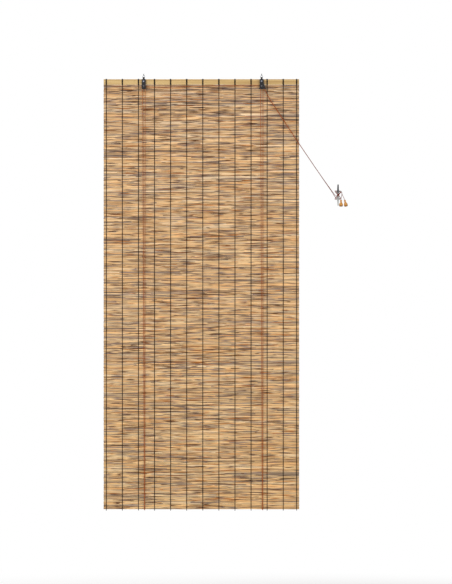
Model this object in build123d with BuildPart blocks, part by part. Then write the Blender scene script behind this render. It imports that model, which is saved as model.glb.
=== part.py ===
# Reed roll up blind, hanging fully lowered, with its pulleys, lift cords, wooden pulls and wall cleat.
# Millimetres. X runs along the width, the front of the blind faces -Y and +Z is up.
# The origin lies midway between the two screw eyes, where their shanks enter the lintel.
import os
from math import cos, pi, radians, sin, sqrt, tan

from build123d import *

os.makedirs("parts", exist_ok=True)

# Overall sizes of the blind
blind_width = 1000.0
blind_drop = 2200.0
blind_shift = -6.5
head_drop = 21.5
screw_to_mat = 8.7
top_edge = -head_drop
bottom_edge = top_edge - blind_drop
left_edge = blind_shift - blind_width / 2
right_edge = blind_shift + blind_width / 2

# Clearance between a soft or turning piece and what carries it
seat_gap = 0.3

# How far a cutting shape runs past the face that it cuts
cut_over = 1.0

# Head batten, a split bamboo slat with two shallow grooves along its front
batten_height = 28.5
batten_thickness = 8.0
batten_chamfer = 0.9
batten_groove_width = 2.0
batten_groove_depth = 0.6
batten_front = screw_to_mat - batten_thickness / 2
batten_back = screw_to_mat + batten_thickness / 2
batten_bottom = top_edge - batten_height

# Reed mat, one woven wall of flat-sided courses
reed_thickness = 4.8
course_pitch = 5.4
course_unevenness = 0.28
course_wave = 2.4
course_drift = 0.37
groove_depth = 1.1
mat_gap = 1.2
mat_top = batten_bottom - mat_gap
mat_height = mat_top - bottom_edge
mat_front = screw_to_mat - reed_thickness / 2
mat_back = screw_to_mat + reed_thickness / 2
course_count = round(mat_height / course_pitch)

# See-through gaps between courses
slit_height = 0.8
slit_margin = 12.0
slits_per_bay = 7
slit_scatter = 0.35
slit_bay_wave = 1.9
slit_row_wave = 2.3

# Warp yarns that bind the courses
yarn_count = 13
yarn_left_margin = 13.3
yarn_right_margin = 12.6
last_bay_share = 0.836
yarn_span = blind_width - yarn_left_margin - yarn_right_margin
yarn_pitch = yarn_span / (yarn_count - 2 + last_bay_share)
yarn_clearance = 1.5
yarn_width = 3.0
yarn_thickness = 1.2
yarn_tail_width = 3.6
yarn_tail_drop = 7.5
wrap_width = 7.5
wrap_thickness = 1.7

# Pulley housings, each a black strap bent over at the top
pulley_spacing = 603.0
housing_width = 21.0
housing_drop = 50.5
housing_corner = 4.0
neck_width = 10.0
bridge_width = 8.0
neck_height = 11.0
shoulder_drop = 1.5
sheet = 1.2
fold_radius = 1.0
left_gap = 10.0
right_gap = 12.0
flare_right = 22.8
flare_left = 14.0
flare_start = 20.0
flare_left_start = 43.0
flare_left_end = 48.0
flare_corner = 1.6
housing_back = batten_front
gap_back = housing_back - sheet

# Through bolts, spacers and rear guides on the head batten
bolt_drop = 11.0
bolt_radius = 2.0
bolt_clearance = 0.15
bolt_head_radius = 4.3
bolt_head_height = 2.2
rear_head_height = 2.0
head_rim_share = 0.35
dome_radius_share = 0.8
dome_height_share = 0.8
crown_radius_share = 0.4
spacer_radius = 5.5
guide_length = 5.8
guide_flange_radius = 8.0
guide_groove_radius = 5.5
guide_flange_thickness = 0.6

# Pulley wheels and their axles
wheel_drop = 35.0
wheel_radius = 5.3
wheel_groove_radius = 4.0
wheel_width = 5.4
wheel_flange = 0.8
wheel_gap = 0.6
wheel_bore_clearance = 0.08
axle_radius = 1.6
axle_head_radius = 4.0
axle_head_height = 1.9
axle_tail_radius = 2.8
axle_tail_height = 0.8
washer_radius = 2.8

# Lock roller in the flared housing
roller_radius = 2.8
roller_teeth = 12
roller_tooth = 0.45
roller_end_gap = 0.5
trunnion_radius = 1.2
trunnion_proud = 0.6
slot_clearance = 0.3
roller_travel = 4.5
roller_x = 14.24
roller_drop = 39.67
cord_heading = -60.6

# Screw eyes in the lintel
eye_inner_radius = 5.2
eye_wire = 2.0
shank_radius = 1.7
shank_length = 5.0
shank_tip = 1.5
shank_neck = 1.2
shank_neck_radius = 0.9
eye_seat_gap = 0.3

# Cords, their knots and the wooden pulls
cord_diameter = 2.4
knot_radius = 2.4
knot_length = 5.5
knot_chamfer_share = 0.3
pull_height = 34.5
pull_radius = 9.4
pull_neck_radius = 4.2
pull_collar = 1.5
pull_mouth_chamfer = 0.6
pull_waist_radius = 3.8
pull_waist_drop = 7.6
pull_hip_inset = 1.9
pull_hip_drop = 18.8
pull_belly_inset = 1.3
pull_base_inset = 2.6
pull_rim = 1.2
pull_bore_radius = 1.7
pull_recess_radius = 4.0
stop_knot_radius = 3.0
stop_knot_length = 5.5

# Wall cleat and the cord wound on it
wall_plane = 24.7
cleat_x = 692.5
cleat_z = -614.1
cleat_height = 110.0
cleat_width = 10.0
cleat_tip_width = 6.4
cleat_foot_height = 26.0
cleat_foot_depth = 14.0
cleat_horn_depth = 6.0
cleat_tip_depth = 4.2
cleat_tip_lift = 4.0
cleat_screw_spacing = 15.0
cleat_screw_radius = 2.1
cleat_sink_radius = 4.0
cleat_bow = 0.5
cleat_foot_flare = 1.0
wraps_half_width = 11.5
wraps_half_height = 19.0
wraps_front = 7.6
wraps_back = 4.2
wraps_chamfer = 2.0


def keep(part, name):
    """Label one piece and write its STEP file."""
    part.label = name
    export_step(part, f"parts/{name}.step")


def front_sketch(y):
    """A plane seen from the front: sketch X is X and sketch Y is Z. Extruding goes towards -Y."""
    return Plane(origin=(0, y, 0), x_dir=(1, 0, 0), z_dir=(0, -1, 0))


left_x = -pulley_spacing / 2
right_x = pulley_spacing / 2


# Reed mat
def groove_heights():
    """Heights of the grooves that part the courses, from the top of the mat down."""
    waves = [sin(course_wave * k) * cos(course_drift * k) for k in range(course_count)]
    steps = [1 + course_unevenness * wave for wave in waves]
    scale = mat_height / sum(steps)
    heights = [mat_top]
    for step in steps:
        heights.append(heights[-1] - step * scale)
    return heights


grooves = groove_heights()


def mat_outline():
    """Section of the mat: a ridge for each course on the front, and again on the back."""
    front = []
    back = []
    for upper, lower in zip(grooves[:-1], grooves[1:]):
        front.append((mat_front + groove_depth, upper))
        front.append((mat_front, (upper + lower) / 2))
        back.append((mat_back - groove_depth, upper))
        back.append((mat_back, (upper + lower) / 2))
    front.append((mat_front + groove_depth, bottom_edge))
    back.append((mat_back - groove_depth, bottom_edge))
    return front + back[::-1]


def beside_housings(x):
    """The place of a yarn, moved aside where its wrap would lie behind a pulley housing."""
    room = wrap_width / 2 + yarn_clearance
    half = housing_width / 2
    for pulley_x, reach_left, reach_right in ((left_x, half, half), (right_x, flare_left, flare_right)):
        low = pulley_x - reach_left - room
        high = pulley_x + reach_right + room
        if low < x < high:
            x = low if x - low < high - x else high
    return x


yarn_x = [beside_housings(left_edge + yarn_left_margin + yarn_pitch * k) for k in range(yarn_count - 1)]
yarn_x.append(right_edge - yarn_right_margin)
bay_widths = [right - left for left, right in zip(yarn_x[:-1], yarn_x[1:])]


def slit_places(bay):
    """Centres of the see-through gaps in one bay between two yarns."""
    middle = (yarn_x[bay] + yarn_x[bay + 1]) / 2
    places = []
    for k in range(slits_per_bay):
        wave = slit_scatter * sin(slit_bay_wave * bay + slit_row_wave * k)
        share = (k + 0.5 + wave) / slits_per_bay
        places.append((middle, screw_to_mat, grooves[round(course_count * share)]))
    return places


with BuildPart() as reed_mat:
    with BuildSketch(Plane.YZ.offset(left_edge)):
        with BuildLine():
            Polyline(*mat_outline(), close=True)
        make_face()
    extrude(amount=blind_width)
    for width in sorted({round(w, 2) for w in bay_widths}):
        alike = [bay for bay, w in enumerate(bay_widths) if round(w, 2) == width]
        with Locations(*[place for bay in alike for place in slit_places(bay)]):
            Box(width - 2 * slit_margin, reed_thickness * 2, slit_height, mode=Mode.SUBTRACT)
keep(reed_mat.part, "reed_mat")


# Head batten
def batten_section():
    """Section of the batten with chamfered edges and two grooves along its front face."""
    low, high = batten_bottom, top_edge
    front, back, cut = batten_front, batten_back, batten_chamfer
    points = [(back, low + cut), (back, high - cut), (back - cut, high)]
    points += [(front + cut, high), (front, high - cut)]
    for share in (1 / 3, 2 / 3):
        middle = high - batten_height * share
        points.append((front, middle + batten_groove_width / 2))
        points.append((front + batten_groove_depth, middle))
        points.append((front, middle - batten_groove_width / 2))
    points += [(front, low + cut), (front + cut, low), (back - cut, low)]
    return points


bolt_z = top_edge - bolt_drop
wheel_z = top_edge - wheel_drop

with BuildPart() as head_batten:
    with BuildSketch(Plane.YZ.offset(left_edge)):
        with BuildLine():
            Polyline(*batten_section(), close=True)
        make_face()
    extrude(amount=blind_width)
    with BuildSketch(front_sketch(batten_back + cut_over)):
        with Locations((left_x, bolt_z), (right_x, bolt_z)):
            Circle(bolt_radius + bolt_clearance)
    extrude(amount=batten_thickness + 2 * cut_over, mode=Mode.SUBTRACT)
keep(head_batten.part, "head_batten")


# Warp yarns
def yarn_loop(grow):
    """Outline of the space that a yarn closes round the batten and the mat, grown by its thickness."""
    wide = batten_thickness / 2 + seat_gap + grow
    slim = reed_thickness / 2 + seat_gap + grow
    high = top_edge + seat_gap + grow
    step = batten_bottom - seat_gap - grow
    low = bottom_edge - seat_gap - grow
    right = [(wide, high), (wide, step), (slim, step), (slim, low)]
    left = [(-y, z) for y, z in right[::-1]]
    return [(screw_to_mat + y, z) for y, z in right + left]


def warp_yarn(x):
    """One yarn: a loop round the whole mat, thicker where it wraps the batten, with a tied end below."""
    with BuildPart() as yarn:
        with BuildSketch(Plane.YZ.offset(x - yarn_width / 2)):
            with BuildLine():
                Polyline(*yarn_loop(yarn_thickness), close=True)
            make_face()
            tail_top = bottom_edge - seat_gap - yarn_thickness / 2
            tail_height = tail_top - (bottom_edge - yarn_tail_drop)
            with Locations((screw_to_mat, tail_top - tail_height / 2)):
                Rectangle(yarn_tail_width, tail_height)
            with BuildLine():
                Polyline(*yarn_loop(0), close=True)
            make_face(mode=Mode.SUBTRACT)
        extrude(amount=yarn_width)
        with BuildSketch(Plane.YZ.offset(x - wrap_width / 2)):
            saddle_bottom = batten_bottom + batten_chamfer
            saddle_top = top_edge + seat_gap + wrap_thickness
            with Locations((screw_to_mat, (saddle_top + saddle_bottom) / 2)):
                Rectangle(batten_thickness + 2 * (seat_gap + wrap_thickness), saddle_top - saddle_bottom)
            with Locations((screw_to_mat, (top_edge + seat_gap + saddle_bottom) / 2)):
                inner_height = top_edge + seat_gap - saddle_bottom
                Rectangle(batten_thickness + 2 * seat_gap, inner_height, mode=Mode.SUBTRACT)
        extrude(amount=wrap_width)
    return yarn.part


for number, x in enumerate(yarn_x, start=1):
    keep(warp_yarn(x), f"warp_yarn_{number:02d}")


# Pulley housings
def straight_outline(x):
    """Front outline of the left housing: a plate with a neck and round lower corners."""
    half = housing_width / 2
    low = top_edge - housing_drop
    neck = neck_width / 2
    bridge = bridge_width / 2
    shoulder = top_edge - shoulder_drop
    right = [(half, low), (half, shoulder), (neck, top_edge + shoulder_drop)]
    right += [(bridge, top_edge + neck_height)]
    left = [(-px, pz) for px, pz in right[::-1]]
    return [(x + px, pz) for px, pz in right + left]


def flared_outline(x):
    """Front outline of the right housing, which widens at the bottom where the cords leave."""
    half = housing_width / 2
    low = top_edge - housing_drop
    neck = neck_width / 2
    bridge = bridge_width / 2
    shoulder = top_edge - shoulder_drop
    points = [(flare_right, low), (half, top_edge - flare_start), (half, shoulder)]
    points += [(neck, top_edge + shoulder_drop), (bridge, top_edge + neck_height)]
    points += [(-bridge, top_edge + neck_height)]
    points += [(-neck, top_edge + shoulder_drop), (-half, shoulder)]
    points += [(-half, top_edge - flare_left_start)]
    points += [(-flare_left, top_edge - flare_left_end), (-flare_left, low)]
    return [(x + px, pz) for px, pz in points]


def housing(x, outline, gap, corner):
    """A strap housing: two cheeks joined by the fold over the top, with its bolt and axle holes."""
    depth = gap + 2 * sheet
    with BuildPart() as body:
        with BuildSketch(front_sketch(housing_back)):
            with BuildLine():
                Polyline(*outline, close=True)
            make_face()
            fillet(vertices().group_by(Axis.Y)[0], corner)
        extrude(amount=depth)
        fillet(edges().filter_by(Axis.X).group_by(Axis.Z)[-1], fold_radius)
        gap_top = top_edge + neck_height - sheet
        gap_low = top_edge - housing_drop - cut_over
        with Locations((x, gap_back - gap / 2, (gap_top + gap_low) / 2)):
            Box(3 * housing_width, gap, gap_top - gap_low, mode=Mode.SUBTRACT)
        with BuildSketch(front_sketch(housing_back + cut_over)):
            with Locations((x, bolt_z)):
                Circle(bolt_radius + bolt_clearance)
            with Locations((x, wheel_z)):
                Circle(axle_radius + bolt_clearance)
        extrude(amount=depth + 2 * cut_over, mode=Mode.SUBTRACT)
    return body


left_housing = housing(left_x, straight_outline(left_x), left_gap, housing_corner)
keep(left_housing.part, "left_pulley_housing")

roller_start = Vector(right_x + roller_x, 0, top_edge - roller_drop)
roller_way = Vector(-cos(radians(cord_heading)), 0, -sin(radians(cord_heading)))
slot_middle = roller_start + roller_way * (roller_travel / 2)
slot_radius = trunnion_radius + slot_clearance

right_housing_blank = housing(right_x, flared_outline(right_x), right_gap, flare_corner)
with BuildPart() as right_housing:
    add(right_housing_blank.part)
    with BuildSketch(front_sketch(housing_back + cut_over)):
        with Locations((slot_middle.X, slot_middle.Z)):
            SlotCenterToCenter(roller_travel, 2 * slot_radius, rotation=180 + cord_heading)
    extrude(amount=right_gap + 2 * sheet + 2 * cut_over, mode=Mode.SUBTRACT)
keep(right_housing.part, "right_pulley_housing")


# Turned pieces on an axis that runs front to back
def turned(x, z, profile):
    """Revolve a profile of (radius, y) points about the front-to-back axis at x, z."""
    with BuildPart() as piece:
        with BuildSketch(Plane(origin=(x, 0, z), x_dir=(1, 0, 0), z_dir=(0, 0, 1))):
            with BuildLine():
                Polyline(*profile, close=True)
            make_face()
        revolve(axis=Axis((x, 0, z), (0, 1, 0)))
    return piece.part


def rivet(x, z, radius, front, back, head, tail):
    """A headed pin. head and tail are (radius, height) of the domed front and the flat rear end."""
    head_radius, head_height = head
    tail_radius, tail_height = tail
    profile = [(0, back + tail_height), (tail_radius, back + tail_height), (tail_radius, back)]
    profile += [(radius, back), (radius, front), (head_radius, front)]
    profile += [(head_radius, front - head_height * head_rim_share)]
    profile += [(head_radius * dome_radius_share, front - head_height * dome_height_share)]
    profile += [(head_radius * crown_radius_share, front - head_height), (0, front - head_height)]
    return turned(x, z, profile)


def sleeve(x, z, outer, inner, front, back):
    """A plain tube."""
    return turned(x, z, [(inner, front), (outer, front), (outer, back), (inner, back)])


def grooved(x, z, middle, width, flange, groove, rim, bore):
    """A cord wheel or guide, with a groove round it that is wide enough for the cord."""
    half = width / 2
    floor = cord_diameter / 2 + seat_gap
    profile = [(bore, middle - half), (flange, middle - half), (flange, middle - half + rim)]
    profile += [(groove, middle - floor), (groove, middle + floor)]
    profile += [(flange, middle + half - rim), (flange, middle + half), (bore, middle + half)]
    return turned(x, z, profile)


guide_middle = batten_back + guide_length / 2
rear_wheel_y = gap_back - seat_gap - wheel_width / 2
front_wheel_y = rear_wheel_y - wheel_width - wheel_gap
wheel_bore = axle_radius + wheel_bore_clearance

for side, x, gap in (("left", left_x, left_gap), ("right", right_x, right_gap)):
    cheek_front = gap_back - gap - sheet
    bolt = rivet(
        x,
        bolt_z,
        bolt_radius,
        cheek_front,
        batten_back + guide_length,
        (bolt_head_radius, bolt_head_height),
        (bolt_head_radius, rear_head_height),
    )
    keep(bolt, f"{side}_through_bolt")
    spacer = sleeve(x, bolt_z, spacer_radius, bolt_radius + bolt_clearance, gap_back - gap, gap_back)
    keep(spacer, f"{side}_spacer")
    guide = grooved(
        x,
        bolt_z,
        guide_middle,
        guide_length,
        guide_flange_radius,
        guide_groove_radius,
        guide_flange_thickness,
        bolt_radius + bolt_clearance,
    )
    keep(guide, f"{side}_rear_cord_guide")
    axle = rivet(
        x,
        wheel_z,
        axle_radius,
        cheek_front,
        housing_back,
        (axle_head_radius, axle_head_height),
        (axle_tail_radius, axle_tail_height),
    )
    keep(axle, f"{side}_axle_rivet")

wheel_sizes = (wheel_width, wheel_radius, wheel_groove_radius, wheel_flange, wheel_bore)
keep(grooved(left_x, wheel_z, rear_wheel_y, *wheel_sizes), "left_wheel")
keep(grooved(right_x, wheel_z, rear_wheel_y, *wheel_sizes), "right_rear_wheel")
keep(grooved(right_x, wheel_z, front_wheel_y, *wheel_sizes), "right_front_wheel")
washer_back = rear_wheel_y - wheel_width / 2 - seat_gap
washer_front = gap_back - left_gap
washer_bore = axle_radius + bolt_clearance
washer = sleeve(left_x, wheel_z, washer_radius, washer_bore, washer_front, washer_back)
keep(washer, "left_axle_washer")


# Lock roller with a toothed rim, held in the slots of the flared housing
with BuildPart() as lock_roller:
    roller_front = gap_back - right_gap + roller_end_gap
    roller_length = right_gap - 2 * roller_end_gap
    with BuildSketch(front_sketch(roller_front + roller_length)):
        with BuildLine():
            rim = []
            for k in range(2 * roller_teeth):
                reach = roller_radius - roller_tooth * (k % 2)
                angle = pi * k / roller_teeth
                rim.append((roller_start.X + reach * cos(angle), roller_start.Z + reach * sin(angle)))
            Polyline(*rim, close=True)
        make_face()
    extrude(amount=roller_length)
    trunnion_back = housing_back + trunnion_proud
    with BuildSketch(front_sketch(trunnion_back)):
        with Locations((roller_start.X, roller_start.Z)):
            Circle(trunnion_radius)
    extrude(amount=right_gap + 2 * sheet + 2 * trunnion_proud)
keep(lock_roller.part, "lock_roller")


# Screw eyes, which carry the housings at the fold
def screw_eye(x):
    """A wire ring on a short pointed shank. The fold of the housing rests in the ring."""
    ring_radius = eye_inner_radius + eye_wire / 2
    fold_low = top_edge + neck_height - sheet
    reach = eye_inner_radius - eye_seat_gap
    ring_z = fold_low + sqrt(reach**2 - (bridge_width / 2) ** 2)
    with BuildPart() as eye:
        with BuildSketch(Plane.XY.offset(ring_z)):
            with Locations((x + ring_radius, 0)):
                RegularPolygon(eye_wire / 2, 8, rotation=22.5)
        revolve(axis=Axis((x, 0, ring_z), (0, 1, 0)))
        with BuildSketch(Plane.XZ):
            with BuildLine():
                base = ring_z + ring_radius
                profile = [(x, base), (x + shank_neck_radius, base)]
                profile += [(x + shank_radius, base + shank_neck), (x + shank_radius, shank_length)]
                profile += [(x, shank_length + shank_tip)]
                Polyline(*profile, close=True)
            make_face()
        revolve(axis=Axis((x, 0, 0), (0, 0, 1)))
    return eye.part


keep(screw_eye(left_x), "left_screw_eye")
keep(screw_eye(right_x), "right_screw_eye")


# Cord routes, chosen by hand. Each ends flat on the knot, the winding or the pull that it meets.
left_cord_points = [
    (-308.5, -3.6, -40.0),
    (-308.5, -3.6, -25.5),
    (-294.5, -3.6, -25.5),
    (-295.8, 2.1, -2226.1),
    (-295.8, 15.3, -2226.1),
    (-294.5, 15.6, -25.5),
    (-308.5, 15.6, -25.5),
    (-298.6, 15.3, -2226.1),
    (-298.6, 2.1, -2226.1),
    (-307.0, 0.5, -53.3),
    (-301.5, 0.5, -50.15),
    (-280.5, 0.5, -62.3),
    (-232.0, 0.4, -64.6),
    (-165.0, 0.3, -62.5),
    (-100.0, 0.3, -59.6),
    (0.0, 0.4, -57.0),
    (130.0, 0.5, -54.2),
    (303.1, 0.5, -50.9),
    (305.7, 0.5, -52.4),
    (319.2, 0.6, -76.7),
    (337.7, 0.8, -118.0),
    (378.7, 1.1, -179.4),
    (455.6, 1.6, -297.0),
    (514.1, 2.2, -383.9),
    (566.3, 4.6, -460.6),
    (619.1, 7.4, -537.3),
    (664.0, 10.6, -601.5),
    (672.0, 11.2, -620.0),
    (681.0, 11.2, -620.0),
]
right_cord_points = [
    (294.5, -2.5, -40.0),
    (294.5, -2.5, -25.5),
    (308.5, -2.5, -25.5),
    (307.6, 2.1, -2226.1),
    (307.6, 15.3, -2226.1),
    (308.5, 15.6, -25.5),
    (294.5, 15.6, -25.5),
    (304.8, 15.3, -2226.1),
    (304.8, 2.1, -2226.1),
    (296.0, -5.5, -53.94),
    (299.93, -5.5, -50.64),
    (305.0, -5.5, -51.54),
    (319.3, -5.4, -76.8),
    (339.4, -5.0, -117.6),
    (380.6, -4.4, -178.6),
    (457.4, -3.3, -296.0),
    (515.8, -2.2, -382.8),
    (568.0, 0.4, -459.6),
    (620.8, 3.0, -536.4),
    (665.0, 6.2, -599.0),
    (672.5, 7.0, -615.0),
    (681.0, 7.0, -615.0),
]
left_tail_points = [
    (704.0, 5.2, -604.0),
    (711.0, 5.2, -604.0),
    (710.3, 2.2, -613.5),
    (708.2, 0.2, -625.0),
    (707.3, -1.0, -639.0),
    (707.3, -1.0, -662.0),
]
right_tail_points = [
    (704.0, 0.9, -600.5),
    (711.0, 0.9, -600.5),
    (714.0, -2.6, -612.5),
    (720.7, -4.4, -626.5),
    (726.4, -5.0, -639.6),
    (731.5, -5.0, -662.2),
]

# Each corner of a route is rounded by a share of its shorter run
turn_share = 0.45


def corner_radii(points):
    """Radius of each corner: a share of the shorter run, divided by the tangent of half the turn."""
    radii = []
    for before, here, after in zip(points[:-2], points[1:-1], points[2:]):
        first = Vector(here) - Vector(before)
        second = Vector(after) - Vector(here)
        turn = radians(first.get_angle(second))
        radii.append(turn_share * min(first.length, second.length) / tan(turn / 2))
    return radii


def cord(points, name):
    """Sweep a round section along straight runs and tangent arcs, and report its radii and volume."""
    radii = corner_radii(points)
    with BuildPart() as tube:
        with BuildLine() as route:
            FilletPolyline(*points, radius=radii)
        start = Vector(points[0])
        along = Vector(points[1]) - start
        with BuildSketch(Plane(origin=start, z_dir=along)):
            Circle(cord_diameter / 2)
        sweep()
    length = sum(edge.length for edge in route.line.edges())
    expected = pi * (cord_diameter / 2) ** 2 * length
    print(name, "length", round(length, 1), "volume ratio", round(tube.part.volume / expected, 4))
    print("  radii", [round(radius, 1) for radius in radii])
    keep(tube.part, name)


cord(left_cord_points, "left_lift_cord")
cord(right_cord_points, "right_lift_cord")
cord(left_tail_points, "left_cord_tail")
cord(right_tail_points, "right_cord_tail")


# Knots at the fixed ends of the lift cords, below the spacers
def barrel(top, down, radius, length):
    """A short barrel from its flat top centre along a direction."""
    with BuildPart() as piece:
        with BuildSketch(Plane(origin=top, z_dir=down)):
            Circle(radius)
        extrude(amount=length)
        chamfer(piece.edges().filter_by(GeomType.CIRCLE), radius * knot_chamfer_share)
    return piece.part


keep(barrel(left_cord_points[0], (0, 0, -1), knot_radius, knot_length), "left_anchor_knot")
keep(barrel(right_cord_points[0], (0, 0, -1), knot_radius, knot_length), "right_anchor_knot")


# Wooden pulls, turned to a bell shape and bored for the cord
def wooden_pull(neck, seat, name):
    """A pull whose neck centre is neck and whose bore runs towards seat, where the stop knot sits."""
    axis_start = Vector(neck)
    down = (Vector(seat) - axis_start).normalized()
    side = Vector(0, 1, 0).cross(down)
    bore_length = (Vector(seat) - axis_start).length - seat_gap
    with BuildPart() as pull:
        with BuildSketch(Plane(origin=axis_start, x_dir=side, z_dir=side.cross(down))):
            with BuildLine():
                waist = (pull_waist_radius, pull_waist_drop)
                hip = (pull_radius - pull_hip_inset, pull_hip_drop)
                flank = ThreePointArc((pull_neck_radius, pull_collar), waist, hip)
                belly_end = (pull_radius - pull_belly_inset, pull_height - pull_rim)
                belly = TangentArc(hip, belly_end, tangent=flank % 1)
                Polyline(
                    belly @ 1,
                    (pull_radius - pull_base_inset, pull_height),
                    (pull_recess_radius, pull_height),
                    (pull_recess_radius, bore_length),
                    (pull_bore_radius, bore_length),
                    (pull_bore_radius, 0),
                    (pull_neck_radius - pull_mouth_chamfer, 0),
                    flank @ 0,
                )
            make_face()
        revolve(axis=Axis(axis_start, down))
    keep(pull.part, name)
    return down


left_pull_way = wooden_pull(left_tail_points[-2], left_tail_points[-1], "left_wooden_pull")
right_pull_way = wooden_pull(right_tail_points[-2], right_tail_points[-1], "right_wooden_pull")
left_stop = barrel(left_tail_points[-1], left_pull_way, stop_knot_radius, stop_knot_length)
keep(left_stop, "left_stop_knot")
right_stop = barrel(right_tail_points[-1], right_pull_way, stop_knot_radius, stop_knot_length)
keep(right_stop, "right_stop_knot")

# Wall cleat: the side profile and the front outline are extruded and the shape common to both is kept
horn_back = wall_plane - cleat_foot_depth
horn_front = horn_back - cleat_horn_depth
half_height = cleat_height / 2
half_foot = cleat_foot_height / 2


with BuildPart() as wall_cleat:
    with BuildSketch(Plane.YZ.offset(cleat_x - cleat_width / 2)):
        with BuildLine():
            tip_back = horn_back - cleat_tip_lift
            tip_front = tip_back - cleat_tip_depth
            middle_front = (horn_front + tip_front) / 2 + cleat_bow
            middle_z = (half_height + half_foot) / 2
            front_line = Line((horn_front, cleat_z - half_foot), (horn_front, cleat_z + half_foot))
            upper_middle = (middle_front, cleat_z + middle_z)
            upper = Spline(front_line @ 1, upper_middle, (tip_front, cleat_z + half_height))
            Polyline(
                upper @ 1,
                (tip_back, cleat_z + half_height),
                (horn_back, cleat_z + half_foot),
                (wall_plane, cleat_z + half_foot + cleat_foot_flare),
                (wall_plane, cleat_z - half_foot - cleat_foot_flare),
                (horn_back, cleat_z - half_foot),
                (tip_back, cleat_z - half_height),
                (tip_front, cleat_z - half_height),
            )
            lower_middle = (middle_front, cleat_z - middle_z)
            Spline((tip_front, cleat_z - half_height), lower_middle, front_line @ 0)
        make_face()
    extrude(amount=cleat_width)
    with BuildSketch(front_sketch(wall_plane + cut_over)):
        with BuildLine():
            wide = cleat_width / 2
            slim = cleat_tip_width / 2
            tip = half_height - slim
            right = Polyline(
                (cleat_x + slim, cleat_z - tip),
                (cleat_x + wide, cleat_z - half_foot),
                (cleat_x + wide, cleat_z + half_foot),
                (cleat_x + slim, cleat_z + tip),
            )
            top = (cleat_x, cleat_z + half_height)
            crown = ThreePointArc(right @ 1, top, (cleat_x - slim, cleat_z + tip))
            left = Polyline(
                crown @ 1,
                (cleat_x - wide, cleat_z + half_foot),
                (cleat_x - wide, cleat_z - half_foot),
                (cleat_x - slim, cleat_z - tip),
            )
            ThreePointArc(left @ 1, (cleat_x, cleat_z - half_height), right @ 0)
        make_face()
    extrude(amount=wall_plane + 2 * cut_over - tip_front, mode=Mode.INTERSECT)
    with Locations(Plane(origin=(cleat_x, horn_front, cleat_z), x_dir=(1, 0, 0), z_dir=(0, -1, 0))):
        with GridLocations(0, cleat_screw_spacing, 1, 2):
            through = cleat_foot_depth + cleat_horn_depth + cut_over
            CounterSinkHole(cleat_screw_radius, cleat_sink_radius, depth=through)
keep(wall_cleat.part, "wall_cleat")

# Cord wound on the cleat in a figure of eight: the outer shape of its turns, open where the cleat passes
with BuildPart() as cord_winding:
    front_face = horn_front - seat_gap - wraps_front
    back_face = horn_back + seat_gap + wraps_back
    with BuildSketch(front_sketch(back_face)):
        with Locations((cleat_x, cleat_z)):
            Rectangle(2 * wraps_half_width, 2 * wraps_half_height)
    extrude(amount=back_face - front_face)
    chamfer(edges().filter_by(Axis.Y), wraps_chamfer)
    channel = cleat_width + 2 * seat_gap
    with Locations((cleat_x, (horn_front + horn_back) / 2, cleat_z)):
        Box(channel, cleat_horn_depth + 4 * seat_gap, 4 * wraps_half_height, mode=Mode.SUBTRACT)
    with Locations((cleat_x, horn_back + wraps_back, cleat_z)):
        foot_room = cleat_foot_height + 2 * seat_gap + 2 * cleat_foot_flare
        Box(channel, 2 * wraps_back + 2 * seat_gap, foot_room, mode=Mode.SUBTRACT)
keep(cord_winding.part, "cord_winding")
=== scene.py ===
import math
import random

import bmesh
import bpy
import numpy as np
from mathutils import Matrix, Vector


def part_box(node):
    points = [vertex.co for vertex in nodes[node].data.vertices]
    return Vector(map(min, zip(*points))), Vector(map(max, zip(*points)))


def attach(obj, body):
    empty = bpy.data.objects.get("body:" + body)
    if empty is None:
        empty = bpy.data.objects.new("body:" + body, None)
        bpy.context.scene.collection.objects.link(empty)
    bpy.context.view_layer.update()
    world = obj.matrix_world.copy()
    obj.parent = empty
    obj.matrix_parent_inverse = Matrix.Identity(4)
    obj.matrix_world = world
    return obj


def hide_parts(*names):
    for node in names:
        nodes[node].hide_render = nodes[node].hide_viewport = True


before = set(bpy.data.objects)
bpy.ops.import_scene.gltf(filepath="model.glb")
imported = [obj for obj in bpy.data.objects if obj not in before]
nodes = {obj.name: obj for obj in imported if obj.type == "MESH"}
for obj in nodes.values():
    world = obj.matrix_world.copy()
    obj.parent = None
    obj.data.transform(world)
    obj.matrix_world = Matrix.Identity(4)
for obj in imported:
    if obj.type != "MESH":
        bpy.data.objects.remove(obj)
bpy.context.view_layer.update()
scene = bpy.context.scene
MM = 0.001

# The blind's main places in metres, as the frame has them
mat_low, mat_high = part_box("reed_mat")
batten_low, batten_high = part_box("head_batten")
mat_middle = (mat_low.y + mat_high.y) / 2
mat_width = mat_high.x - mat_low.x
mat_height = mat_high.z - mat_low.z
COURSES = 402
YARN_NAMES = sorted(n for n in nodes if n.startswith("warp_yarn_"))

ALONG_X = np.array([1.0, 0.0, 0.0])
ALONG_Y = np.array([0.0, 1.0, 0.0])
ALONG_Z = np.array([0.0, 0.0, 1.0])
WHITE = (1.0, 1.0, 1.0, 1.0)


def show(name, data):
    """A new object of the scene."""
    made = bpy.data.objects.new(name, data)
    scene.collection.objects.link(made)
    return made


# Materials
def rgb(red, green, blue):
    """A display colour of 0 to 255 as the linear values that a shader takes."""
    found = []
    for value in (red, green, blue):
        c = value / 255
        found.append(c / 12.92 if c <= 0.04045 else ((c + 0.055) / 1.055) ** 2.4)
    return (*found, 1.0)


# A Mix node's sockets when it mixes colours
MIX_SHARE, MIX_FIRST, MIX_SECOND = 0, 6, 7
MIX_RESULT = 2


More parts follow.
